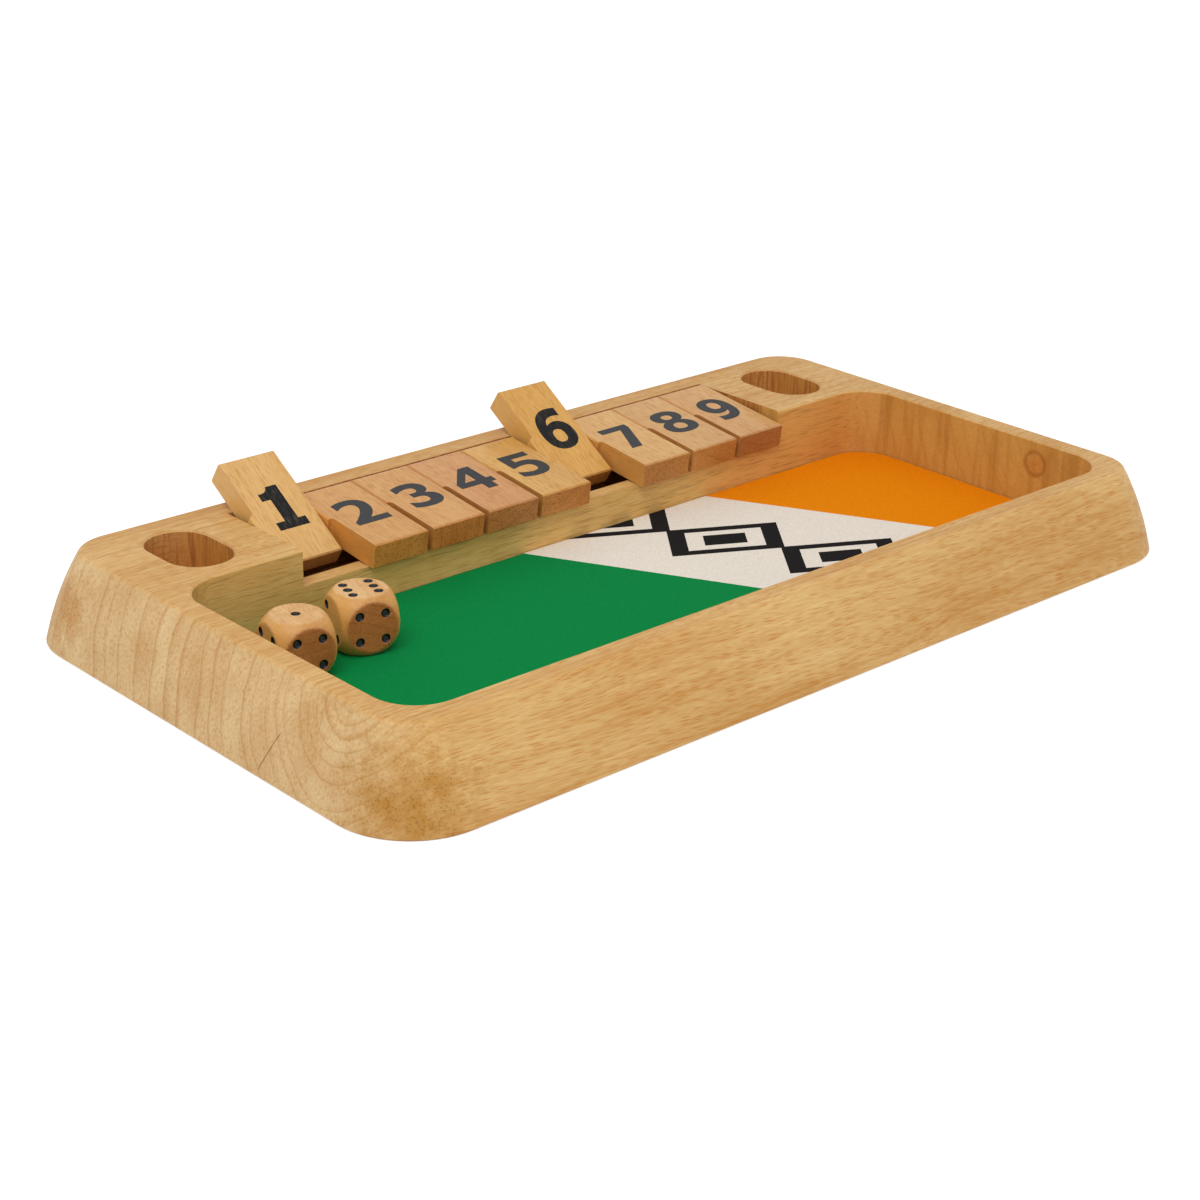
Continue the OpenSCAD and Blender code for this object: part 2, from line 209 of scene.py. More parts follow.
def block_marks(tree, colour, coords, across):
    """What is the block's own: routed walls, two stains, a knot and two drying cracks.

    Places are mm from the block's middle at its foot.
    """
    tray_half, tray_back = {"X": 130.5, "Y": 66.8}, 36.0
    left_end = -131
    end_walls_brown, side_walls_pale, pockets_red = 0.55, 0.38, 0.35
    knot, knot_radius = (128.6, -38.9, 17.6), 3.6
    at = add(tree, "Mapping", {"Vector": coords.outputs["Object"], "Scale": (1000, 1000, 1000)})
    place = add(tree, "SeparateXYZ", {0: at.outputs[0]})

    # Walls inside the block took up more oil: those across the grain are browner and hide
    # the rings, and those along it are ochre
    inside = 1.0
    for axis, half in tray_half.items():
        size = add(tree, "Math", {0: place.outputs[axis]}, operation="ABSOLUTE")
        within = add(tree, "Math", {0: size.outputs[0], 1: half}, operation="LESS_THAN")
        inside = add(tree, "Math", {0: within.outputs[0], 1: inside}, operation="MULTIPLY")
        inside = inside.outputs[0]
    up = add(tree, "Math", {0: across.outputs["Z"]}, operation="ABSOLUTE")
    wall = add(tree, "MapRange", {"Value": up.outputs[0], 1: 0.35, 2: 0.8, 3: 1.0, 4: 0.0})
    share = add(tree, "Math", {0: inside, 1: wall.outputs[0]}, operation="MULTIPLY")
    end_on = add(tree, "Math", {0: across.outputs["X"], 1: across.outputs["X"]},
                 operation="MULTIPLY")
    end_on = add(tree, "Math", {0: end_on.outputs[0], 1: share.outputs[0]},
                 operation="MULTIPLY")
    colour = add(tree, "Mix", {0: end_on.outputs[0], 6: colour, 7: from_hex("#F8E4AC")},
                 data_type="RGBA", blend_type="MULTIPLY")
    fuzzy = add(tree, "Math", {0: end_on.outputs[0], 1: end_walls_brown}, operation="MULTIPLY")
    colour = add(tree, "Mix", {0: fuzzy.outputs[0], 6: colour.outputs[2],
                               7: from_hex("#CC9747")}, data_type="RGBA")
    along = add(tree, "Math", {0: share.outputs[0], 1: end_on.outputs[0]},
                operation="SUBTRACT")
    in_tray = add(tree, "Math", {0: place.outputs["Y"], 1: tray_back}, operation="LESS_THAN")
    pale_share = add(tree, "Math", {0: share.outputs[0], 1: in_tray.outputs[0]},
                     operation="MULTIPLY")
    pale = add(tree, "Math", {0: along.outputs[0], 1: in_tray.outputs[0]},
               operation="MULTIPLY")
    pale = add(tree, "Math", {0: pale.outputs[0], 1: side_walls_pale}, operation="MULTIPLY")
    colour = add(tree, "Mix", {0: pale.outputs[0], 6: colour.outputs[2],
                               7: from_hex("#EEC06C")}, data_type="RGBA")
    # The die pockets were routed with a worn cutter, which left them redder and rough
    pocket = add(tree, "Math", {0: share.outputs[0], 1: pale_share.outputs[0]},
                 operation="SUBTRACT", use_clamp=True)
    red = add(tree, "Math", {0: pocket.outputs[0], 1: pockets_red}, operation="MULTIPLY")
    colour = add(tree, "Mix", {0: red.outputs[0], 6: colour.outputs[2],
                               7: from_hex("#BC6428")}, data_type="RGBA")
    # The rear wall turns browner towards its right end
    browner = add(tree, "MapRange", {"Value": place.outputs["X"], 1: 50.0, 2: 120.0, 4: 0.5})
    browner = add(tree, "Math", {0: along.outputs[0], 1: browner.outputs[0]},
                  operation="MULTIPLY")
    colour = add(tree, "Mix", {0: browner.outputs[0], 6: colour.outputs[2],
                               7: from_hex("#CA8630")}, data_type="RGBA")
    # Streaks: ochre ones along the grain, upright ones where the cutter crossed the ends of
    # the grain and in the pockets, and long fine lines on the flat top
    flat_top = add(tree, "MapRange", {"Value": up.outputs[0], 1: 0.9, 2: 0.99})
    for where, sizes, rare, strong, code in (
            (along, (9, 0.6, 0.5), 0.52, 0.55, "#8E6428"),
            (end_on, (3, 3, 45), 0.46, 0.55, "#A8702A"),
            (pocket, (0.9, 0.9, 14), 0.46, 0.6, "#8A4A20"),
            (flat_top, (70, 0.8, 0.8), 0.46, 0.5, "#B27C3A")):
        strip = add(tree, "Mapping", {"Vector": at.outputs[0], "Scale": per_mm(*sizes)})
        strip = add(tree, "TexNoise", {"Vector": strip.outputs[0], "Scale": 1, "Detail": 3})
        strip = add(tree, "MapRange", {"Value": strip.outputs[0], 1: rare, 2: rare + 0.2,
                                       4: strong})
        strip = add(tree, "Math", {0: strip.outputs[0], 1: where.outputs[0]},
                    operation="MULTIPLY")
        colour = add(tree, "Mix", {0: strip.outputs[0], 6: colour.outputs[2],
                                   7: from_hex(code)}, data_type="RGBA")

    # Two stains where the wood was cut near the bark, and the knot in the tray's right wall,
    # mottled and with open pores. The clouds push the edge in and out, and on average each
    # fades out at its width from the spot
    cloud = add(tree, "TexNoise", {"Vector": at.outputs[0], "Scale": 0.2, "Detail": 6,
                                   "Roughness": 0.65})
    open_pores = add(tree, "TexVoronoi", {"Vector": at.outputs[0], "Scale": 1.4})
    open_pores = add(tree, "MapRange", {"Value": open_pores.outputs["Distance"], 1: 0.2, 2: 0.46,
                                        3: 0.6, 4: 0.0})
    for spot, wide, strong, code in (((-141, 60, 12), 11, 0.8, "#BC8442"),
                                     ((-138, -76, 8), 20, 0.95, "#B07A28"),
                                     (knot, 5.4, 0.75, "#C07828")):
        off = add(tree, "VectorMath", {0: at.outputs[0], 1: spot}, operation="DISTANCE")
        off = add(tree, "Math", {0: cloud.outputs[0], 1: wide * 2.4, 2: off.outputs["Value"]},
                  operation="MULTIPLY_ADD")
        share = add(tree, "MapRange", {"Value": off.outputs[0], 1: wide * 1.2, 2: wide * 2.2,
                                       3: strong, 4: 0.0})
        colour = add(tree, "Mix", {0: share.outputs[0], 6: colour.outputs[2],
                                   7: from_hex(code)}, data_type="RGBA")
        share = add(tree, "Math", {0: share.outputs[0], 1: open_pores.outputs[0]},
                    operation="MULTIPLY")
        colour = add(tree, "Mix", {0: share.outputs[0], 6: colour.outputs[2],
                                   7: from_hex("#7E4E1E")}, data_type="RGBA")
    off = add(tree, "VectorMath", {0: at.outputs[0], 1: knot}, operation="DISTANCE")
    rim = add(tree, "Math", {0: off.outputs["Value"], 1: knot_radius}, operation="SUBTRACT")
    rim = add(tree, "Math", {0: rim.outputs[0]}, operation="ABSOLUTE")
    rim = add(tree, "MapRange", {"Value": rim.outputs[0], 1: 0.1, 2: 1.0, 3: 0.6, 4: 0.0})
    colour = add(tree, "Mix", {0: rim.outputs[0], 6: colour.outputs[2], 7: from_hex("#9A5A1C")},
                 data_type="RGBA")

    # Two hairline drying cracks in the left end, given by their lower and upper ends
    for low, high, wide, strong in (((-28.6, 1.8), (-33.6, 12.2), 0.16, 0.9),
                                    ((-45.7, 17.7), (-44.5, 23.6), 0.1, 0.45)):
        lean = math.atan2(high[1] - low[1], high[0] - low[0])
        along = add(tree, "VectorMath", {0: at.outputs[0], 1: (0, -low[0], -low[1])},
                    operation="ADD")
        along = add(tree, "VectorRotate", {"Vector": along.outputs[0], "Angle": -lean},
                    rotation_type="X_AXIS")
        along = add(tree, "SeparateXYZ", {0: along.outputs[0]})
        gap = add(tree, "Math", {0: along.outputs["Z"]}, operation="ABSOLUTE")
        gap = add(tree, "MapRange", {"Value": gap.outputs[0], 1: wide * 0.4, 2: wide,
                                     3: strong, 4: 0.0})
        run = math.dist(low, high) / 2
        reach = add(tree, "Math", {0: along.outputs["Y"], 1: run}, operation="SUBTRACT")
        reach = add(tree, "Math", {0: reach.outputs[0]}, operation="ABSOLUTE")
        reach = add(tree, "Math", {0: reach.outputs[0], 1: run}, operation="LESS_THAN")
        end = add(tree, "Math", {0: place.outputs["X"], 1: left_end}, operation="LESS_THAN")
        share = add(tree, "Math", {0: gap.outputs[0], 1: reach.outputs[0]},
                    operation="MULTIPLY")
        share = add(tree, "Math", {0: share.outputs[0], 1: end.outputs[0]},
                    operation="MULTIPLY")
        colour = add(tree, "Mix", {0: share.outputs[0], 6: colour.outputs[2],
                                   7: from_hex("#5E4324")}, data_type="RGBA")
    return colour.outputs[2]


block_finish = rubberwood(
    "oiled_rubberwood_block", ("#DFBB7C", "#C18C46", "#BC7426", "#E5D3B0"),
    turn=(0, math.radians(-4.5), 0), heart=(-54, 31), ring=6.0,
    ring_turn=(0, math.radians(6.5), 0), ring_strength=0.6, vessel=(5.6, 0.4),
    vessel_strength=0.65, pore=1.3, pore_strength=0.35, streaks=0.4, end_grain=0.4,
    gloss=0.5, shade=block_marks)
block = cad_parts["block"]
block.data.materials.clear()
block.data.materials.append(block_finish)

# ---- Dowels --------------------------------------------------------------------------
# Two short dowels turned from an offcut of the block, so that they match it. They are glued
# into the rod's hole and sanded flush, and oiled together with the block.

for name in ("rod_dowel_inner", "rod_dowel_outer"):
    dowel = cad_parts[name]
    dowel.data.materials.clear()
    dowel.data.materials.append(block_finish)

# ---- Pivot rod -----------------------------------------------------------------------
# A drawn steel rod, bright but not polished: fine lines from the drawing die run along it.
# It is pushed in from the right through all nine tiles, and the two dowels keep it there.

rod_finish, tree, shader = new_finish("drawn_steel_rod")
coords = add(tree, "TexCoord")
# The real lines are a few hundredths of a millimetre apart, too fine to show, so these are
# 0.25 mm apart and 40 mm long. They catch the light as long faint streaks.
lines_at = add(tree, "Mapping", {"Vector": coords.outputs["Object"], "Scale": (25, 4000, 4000)})
lines = add(tree, "TexNoise", {"Vector": lines_at.outputs[0], "Scale": 1, "Detail": 3})
dull = add(tree, "MapRange", {"Value": lines.outputs[0], 1: 0.3, 2: 0.7, 3: 0.22, 4: 0.42})
steel = add(tree, "Mix", {0: lines.outputs[0], 6: from_hex("#B9BCBF"), 7: from_hex("#D3D4D4")},
            data_type="RGBA")
tree.links.new(steel.outputs[2], shader.inputs["Base Color"])
tree.links.new(dull.outputs[0], shader.inputs["Roughness"])
shader.inputs["Metallic"].default_value = 1
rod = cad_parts["pivot_rod"]
rod.data.materials.clear()
rod.data.materials.append(rod_finish)

# ---- Playing mat ---------------------------------------------------------------------
# A sheet of needled felt, 0.8 mm thick, cut by hand to fit the tray and glued down.
# It is printed with three broad slanting fields and a column of diamonds.

mat_length, mat_width, mat_corner, mat_thick = 256.6, 93.5, 11.7, 0.8
# Across the slanting fields, in mm from the mat's middle, and the diamonds' own sizes
green_ends, pale_ends, diamond_line = 2.0, 74.0, 38.0
diamond_rise, diamond_slope, field_slope = 15.0, 1.35, 0.55
mat_low, mat_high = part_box("play_mat")
mat_mid = (mat_low + mat_high) / 2


def mat_edge(inset, steps=14, parts=24):
    """The mat's outline in mm: rounded corners, and the slight waver of a hand-held knife."""
    points = []
    reach = (mat_length / 2 - mat_corner, mat_width / 2 - mat_corner)
    # Each corner in turn, and the way the edge runs on from it to the next
    for quarter, (side_x, side_y, run_x, run_y) in enumerate((
            (1, 1, -1, 0), (-1, 1, 0, -1), (-1, -1, 1, 0), (1, -1, 0, 1))):
        for k in range(steps + 1):
            a = quarter * math.pi / 2 + k * math.pi / 2 / steps
            points.append((side_x * reach[0] + mat_corner * math.cos(a),
                           side_y * reach[1] + mat_corner * math.sin(a)))
        end_x, end_y = points[-1]
        run = 2 * reach[quarter % 2]
        for k in range(1, parts):
            along = run * k / parts
            points.append((end_x + run_x * along, end_y + run_y * along))
    out = []
    for x, y in points:
        waver = 0.12 + 0.1 * math.sin(x * 0.21 + y * 0.13) + 0.06 * math.sin(x * 0.57 - y * 0.44)
        pull = 1 - (inset + max(0.0, waver)) / math.hypot(x, y)
        out.append((x * pull, y * pull))
    return out


# Heights and how far each row lies inside the outline: the cut edge is upright, and its upper
# corner is pressed round
mat_rows = ((0.0, 0.0), (mat_thick - 0.22, 0.0), (mat_thick - 0.06, 0.08), (mat_thick, 0.25))
mesh = bmesh.new()
rows = []
for z, inset in mat_rows:
    rows.append([mesh.verts.new((mat_mid.x + x * MM, mat_mid.y + y * MM, mat_low.z + z * MM))
                 for x, y in mat_edge(inset)])
for low, high in zip(rows, rows[1:]):
    for k in range(len(low)):
        n = (k + 1) % len(low)
        mesh.faces.new((low[k], low[n], high[n], high[k]))
mesh.faces.new(rows[-1])
mesh.faces.new(list(reversed(rows[0])))
bmesh.ops.triangulate(mesh, faces=[f for f in mesh.faces if len(f.verts) > 4])
mat_mesh = bpy.data.meshes.new("mat_felt")
mesh.to_mesh(mat_mesh)
mesh.free()
mat = bpy.data.objects.new("mat_felt", mat_mesh)
bpy.context.scene.collection.objects.link(mat)

felt, tree, shader = new_finish("printed_felt")
coords = add(tree, "TexCoord")
flat = add(tree, "Mapping", {"Vector": coords.outputs["Object"], "Scale": (1000, 1000, 1000)})
place = add(tree, "SeparateXYZ", {0: flat.outputs[0]})
# Distance across the slanting fields
slant = add(tree, "Math", {0: place.outputs["Y"], 1: field_slope, 2: place.outputs["X"]},
            operation="MULTIPLY_ADD")
# Matted wool, about 0.5 mm from tuft to tuft, on which the printed edges fray a little
wool = add(tree, "TexNoise", {"Vector": flat.outputs[0], "Scale": 1.8, "Detail": 3})
frayed = add(tree, "Math", {0: wool.outputs[0], 1: 0.3, 2: slant.outputs[0]},
             operation="MULTIPLY_ADD")
past_green = add(tree, "Math", {0: frayed.outputs[0], 1: green_ends}, operation="GREATER_THAN")
past_pale = add(tree, "Math", {0: frayed.outputs[0], 1: pale_ends}, operation="GREATER_THAN")
colour = add(tree, "Mix", {0: past_green.outputs[0], 6: from_hex("#048240"),
                           7: from_hex("#E6DDD0")}, data_type="RGBA")
colour = add(tree, "Mix", {0: past_pale.outputs[0], 6: colour.outputs[2],
                           7: from_hex("#E68400")}, data_type="RGBA")
# Diamonds, one above another in the pale field: black, pale, black
middle = add(tree, "Math", {0: frayed.outputs[0], 1: diamond_line}, operation="SUBTRACT")
middle = add(tree, "Math", {0: middle.outputs[0]}, operation="ABSOLUTE")
step = add(tree, "Math", {0: place.outputs["Y"], 1: diamond_rise}, operation="PINGPONG")
rise = add(tree, "Math", {0: step.outputs[0], 1: diamond_slope, 2: middle.outputs[0]},
           operation="MULTIPLY_ADD")
for edge, code in ((21.0, "#1D1B1C"), (14.5, "#E6DDD0"), (8.0, "#1D1B1C")):
    inside = add(tree, "Math", {0: rise.outputs[0], 1: edge}, operation="LESS_THAN")
    colour = add(tree, "Mix", {0: inside.outputs[0], 6: colour.outputs[2], 7: from_hex(code)},
                 data_type="RGBA")
# Felt is dull and has no shine of its own, and its tufts shade it softly
shade = add(tree, "MapRange", {"Value": wool.outputs[0], 1: 0.3, 2: 0.7, 3: 0.9, 4: 1.08})
colour = add(tree, "VectorMath", {0: colour.outputs[2], "Scale": shade.outputs[0]},
             operation="SCALE")
tree.links.new(colour.outputs[0], shader.inputs["Base Color"])
bump = add(tree, "Bump", {"Height": wool.outputs[0], "Strength": 0.5, "Distance": 0.15 * MM})
tree.links.new(bump.outputs[0], shader.inputs["Normal"])
shader.inputs["Roughness"].default_value = 0.95
shader.inputs["Specular IOR Level"].default_value = 0.04
shader.inputs["Sheen Weight"].default_value = 0.015
mat_mesh.materials.append(felt)
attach(mat, "block")
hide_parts("play_mat")

# ---- Number tiles --------------------------------------------------------------------
# Nine tiles sawn from planed rubberwood strips, edges eased, relieved on the left side.
# Each comes from another place in the wood, so tone and grain differ; grain runs lengthwise.

pivot_y, pivot_z, first_x, pitch = 50.55, 20.8, -79.05, 19.65
sawn_share = 0.48
lying, raised = math.radians(6.857), math.radians(-147.244)
tile_turns = [raised if n in (1, 6) else lying for n in range(1, 10)]
# Early wood, late wood, vessels, ends and sawn sides, tile by tile. The dark red-brown sides of
# the tiles whose sides show only in the narrow gaps between tiles are painted shade
tile_tones = [
    ("#E8BE7E", "#CE9C58", "#A86828", "#B5803F", "#E2B264"),
    ("#D5A162", "#C08644", "#A06226", "#DA9044", "#E29632"),
    ("#DAA868", "#BE8244", "#9C5A22", "#D8823C", "#A8641F"),
    ("#D6A066", "#BC7E48", "#9C5626", "#D08440", "#A8641F"),
    ("#DCAC62", "#C28A3E", "#A06024", "#D2843C", "#A8641F"),
    ("#E1AF62", "#C68E40", "#A26222", "#B87A38", "#E0AE5E"),
    ("#DCAE6A", "#C49054", "#A06228", "#CA863E", "#CC8026"),
    ("#D6A86A", "#C28E54", "#A06228", "#CE8A46", "#A8641F"),
    ("#D6A668", "#BE844C", "#9C5624", "#B07440", "#A8641F"),
]


def sawn_sides_and_gap_shade(tone):
    """A tile's own last step: its sawn sides took up the oil otherwise than its faces, and the
    dark tone given to the tiles whose sides show only in the narrow gaps between tiles is
    painted shade.
    """
    def shade(tree, colour, coords, across):
        side = add(tree, "Math", {0: across.outputs["Y"], 1: across.outputs["Y"]},
                   operation="MULTIPLY")
        side = add(tree, "Math", {0: side.outputs[0], 1: sawn_share}, operation="MULTIPLY")
        mixed = add(tree, "Mix", {0: side.outputs[0], 6: colour, 7: from_hex(tone)},
                    data_type="RGBA")
        return mixed.outputs[2]
    return shade


for n in range(1, 10):
    turn = tile_turns[n - 1]
    to_grain = Euler((-turn, 0, -math.pi / 2)).to_matrix()
    pivot = Vector((first_x + pitch * (n - 1), pivot_y, pivot_z))
    # Where in the trunk this tile was cut, far enough from the others that no figure repeats
    cut_from = Vector((n * 57.0, n * 9.0 - 30, 14.0 * (n % 4)))
    tile_finish = rubberwood(
        f"oiled_rubberwood_tile_{n}", tile_tones[n - 1][:4], turn=(-turn, 0, -math.pi / 2),
        shift=tuple(cut_from - to_grain @ pivot), heart=(40 - 11 * (n % 3), 25 + 6 * (n % 5)),
        ring=5.0 + (n % 3), vessel=(4.2, 0.36), vessel_strength=0.55, pore_strength=0.8,
        gloss=0.38,
        shade=sawn_sides_and_gap_shade(tile_tones[n - 1][4]))
    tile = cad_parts[f"tile_{n}"]
    tile.data.materials.clear()
    tile.data.materials.append(tile_finish)

# ---- Printed numbers -----------------------------------------------------------------
# Screen-printed black ink, a heavy upright sans serif 14 mm high, on both faces of a tile.
# The ink is a film a few hundredths of a millimetre thick, and the grain shows through.

# Outlines in mm from the middle of the print. A pair is a straight line to that point, and
# four numbers are a curve: the point that pulls it, then the point where it ends.
bowl_hole = [(3.1, -2.45), (3.1, -0.15, 1.05, -0.15), (-1.0, -0.15, -1.0, -2.45),
             (-1.0, -4.75, 1.05, -4.75), (3.1, -4.75, 3.1, -2.45)]
six = [(5.25, 7.0), (3.9, 7.3, 2.4, 7.3), (-0.9, 7.3, -2.8, 5.2), (-4.6, 3.1, -4.6, -0.8),
       (-4.6, -4.1, -3.0, -5.7), (-1.5, -7.25, 1.0, -7.25), (3.6, -7.25, 5.1, -5.9),
       (6.65, -4.5, 6.65, -2.3), (6.65, 0.0, 5.3, 1.3), (4.0, 2.6, 2.2, 2.6),
       (0.5, 2.6, -0.9, 1.7), (-0.4, 4.5, 3.0, 4.5), (4.1, 4.5, 5.0, 4.15), (5.25, 4.15)]


def half_turn(path):
    """The outline turned upside down about its middle, 1 mm right of the print's own."""
    return [tuple(2.0 - v if i % 2 == 0 else -v for i, v in enumerate(p)) for p in path]


digit_outlines = {
    1: [[(-3.7, -7.0), (5.4, -7.0), (5.4, -4.45), (3.2, -4.45), (3.2, 7.0), (-0.15, 7.0),
         (-0.4, 5.4, -2.3, 5.25), (-3.35, 5.2), (-3.35, 2.85), (-0.85, 2.85),
         (-0.85, -4.45), (-3.7, -4.45)]],
    2: [[(-4.85, -7.0), (6.4, -7.0), (6.4, -4.3), (1.0, -4.3), (3.3, -2.4, 4.2, -0.6),
         (5.0, 0.9, 5.0, 2.5), (5.0, 4.9, 3.4, 6.1), (2.1, 7.15, -0.2, 7.15),
         (-2.8, 7.15, -5.0, 6.1), (-5.0, 3.0), (-4.7, 3.0), (-2.9, 4.45, -0.9, 4.45),
         (1.3, 4.45, 1.3, 2.4), (1.3, 0.9, -0.6, -1.3), (-2.4, -3.3, -4.85, -5.2)]],
    3: [[(-4.4, 6.1), (-1.9, 7.15, 0.6, 7.15), (3.0, 7.15, 4.4, 5.95), (5.6, 4.9, 5.6, 3.4),
         (5.6, 1.3, 3.4, 0.35), (6.5, -0.4, 6.5, -3.0), (6.5, -5.2, 4.6, -6.3),
         (3.0, -7.25, 0.8, -7.25), (-2.2, -7.25, -4.5, -6.2), (-4.5, -3.2), (-4.1, -3.2),
         (-1.8, -4.5, 0.2, -4.5), (2.55, -4.5, 2.55, -2.75), (2.55, -1.0, -0.1, -1.0),
         (-1.4, -1.0), (-1.4, 1.35), (0.0, 1.35), (2.05, 1.35, 2.05, 2.95),
         (2.05, 4.4, -0.1, 4.4), (-1.9, 4.4, -4.0, 3.15), (-4.4, 3.15)]],
    4: [[(0.9, 7.0), (4.65, 7.0), (4.65, -1.15), (6.5, -1.15), (6.5, -3.8), (4.65, -3.8),
         (4.65, -7.0), (1.1, -7.0), (1.1, -3.8), (-5.9, -3.8), (-5.9, -1.2)],
        [(1.1, -1.15), (1.1, 3.5), (-2.75, -1.15)]],
    5: [[(-4.5, 7.0), (5.5, 7.0), (5.5, 4.4), (-1.2, 4.4), (-1.2, 2.3), (-0.3, 2.5, 0.6, 2.5),
         (3.3, 2.5, 4.8, 1.1), (6.2, -0.3, 6.2, -2.4), (6.2, -4.8, 4.5, -6.1),
         (3.0, -7.25, 0.3, -7.25), (-2.7, -7.25, -5.0, -6.2), (-5.0, -3.3), (-4.6, -3.3),
         (-2.0, -4.6, -0.2, -4.6), (2.6, -4.6, 2.6, -2.4), (2.6, -0.2, -0.5, -0.2),
         (-2.2, -0.2, -3.8, -0.85), (-4.5, -0.85)]],
    6: [six, bowl_hole],
    7: [[(-5.4, 7.0), (5.6, 7.0), (5.6, 4.9), (0.4, -7.0), (-3.7, -7.0), (1.8, 4.3),
         (-5.4, 4.3)]],
    8: [[(0.8, 7.3), (3.5, 7.3, 4.9, 6.25), (6.3, 5.2, 6.3, 3.6), (6.3, 1.4, 4.0, 0.45),
         (6.8, -0.7, 6.8, -3.2), (6.8, -5.2, 5.2, -6.25), (3.6, -7.3, 0.8, -7.3),
         (-2.0, -7.3, -3.6, -6.25), (-5.2, -5.2, -5.2, -3.2), (-5.2, -0.7, -2.4, 0.45),
         (-4.7, 1.4, -4.7, 3.6), (-4.7, 5.2, -3.3, 6.25), (-1.9, 7.3, 0.8, 7.3)],
        [(2.7, 3.3), (2.7, 4.75, 0.8, 4.75), (-1.1, 4.75, -1.1, 3.3), (-1.1, 1.9, 0.8, 1.75),
         (2.7, 1.9, 2.7, 3.3)],
        [(3.05, -3.0), (3.05, -1.2, 0.8, -0.95), (-1.45, -1.2, -1.45, -3.0),
         (-1.45, -4.85, 0.8, -4.85), (3.05, -4.85, 3.05, -3.0)]],
    9: [half_turn(six), half_turn(bowl_hole)],
}
# Each tile was printed by hand, so the print sits a little differently on every one: along
# the row, up the tile, and its size
print_places = [(0, -0.4, 1.05), (0, 0, 1), (0, -0.05, 1), (0, 0.1, 1), (0, -0.1, 1),
                (0, 0.25, 1.05), (0, -0.75, 1), (0.1, 0, 1), (-0.4, 0, 1)]
ink_film, ink_gap, tile_half_thick = 0.05, 0.01, 3.6
# From the pivot to the middle of a print: the top one, which reads from the free end, and the
# one below, which reads from the tail
print_middles = {1: -5.8, -1: -6.2}


def screen_ink(name, black, rubbed, wear):
    """Black printing ink, matt, with the grain's ridges rubbed paler along the tile."""
    finish, tree, shader = new_finish(name)
    coords = add(tree, "TexCoord")
    # The ridges are 0.3 mm wide and 4.5 mm long
    grain_at = add(tree, "Mapping", {"Vector": coords.outputs["Object"],
                                     "Scale": (3600, 220, 220)})
    grain = add(tree, "TexNoise", {"Vector": grain_at.outputs[0], "Scale": 1, "Detail": 4})
    worn = add(tree, "MapRange", {"Value": grain.outputs[0], 1: wear, 2: wear + 0.14})
    tint = add(tree, "Mix", {0: worn.outputs[0], 6: from_hex(black), 7: from_hex(rubbed)},
               data_type="RGBA")
    tree.links.new(tint.outputs[2], shader.inputs["Base Color"])
    matt = add(tree, "MapRange", {"Value": grain.outputs[0], 1: 0.35, 2: 0.75, 3: 0.5, 4: 0.65})
    tree.links.new(matt.outputs[0], shader.inputs["Roughness"])
    bump = add(tree, "Bump", {"Height": grain.outputs[0], "Strength": 0.4,
                              "Distance": 0.05 * MM})
    tree.links.new(bump.outputs[0], shader.inputs["Normal"])
    shader.inputs["Specular IOR Level"].default_value = 0.2
    return finish


# The face that is up in play is handled; its ink is set grey as a painted reflection of the
# white surround that the flat tiles face, and the one below is still black
ink_top_painted_reflection = screen_ink("screen_print_handled_painted_reflection", "#303134", "#4A4743", 0.6)
ink_below = screen_ink("screen_print_fresh", "#060607", "#574F43", 0.57)


def outline_points(path, steps=9):
    """The points along an outline, with its curves cut into short lines."""
    points = [path[0]]
    for part in path[1:]:
        if len(part) == 2:
            points.append(part)
            continue
        (ax, ay), (bx, by, cx, cy) = points[-1], part
        for k in range(1, steps + 1):
            t = k / steps
            points.append(((1 - t) ** 2 * ax + 2 * t * (1 - t) * bx + t * t * cx,
                           (1 - t) ** 2 * ay + 2 * t * (1 - t) * by + t * t * cy))
    if math.dist(points[0], points[-1]) < 1e-6:
        points.pop()
    return points


def ink_mesh(n):
    """A digit as a closed film of ink, lying in the xy plane round its own middle, in mm."""
    curve = bpy.data.curves.new(f"digit_{n}", "CURVE")
    curve.dimensions, curve.fill_mode, curve.extrude = "2D", "BOTH", ink_film / 2
    for path in digit_outlines[n]:
        points = outline_points(path)
        spline = curve.splines.new("POLY")
        spline.points.add(len(points) - 1)
        for point, (x, y) in zip(spline.points, points):
            point.co = (x, y, 0, 1)
        spline.use_cyclic_u = True
    shape = bpy.data.objects.new(f"digit_{n}", curve)
    bpy.context.scene.collection.objects.link(shape)
    bpy.context.view_layer.update()
    made = bpy.data.meshes.new_from_object(shape.evaluated_get(
        bpy.context.evaluated_depsgraph_get()))
    bpy.data.objects.remove(shape)
    bpy.data.curves.remove(curve)
    return made


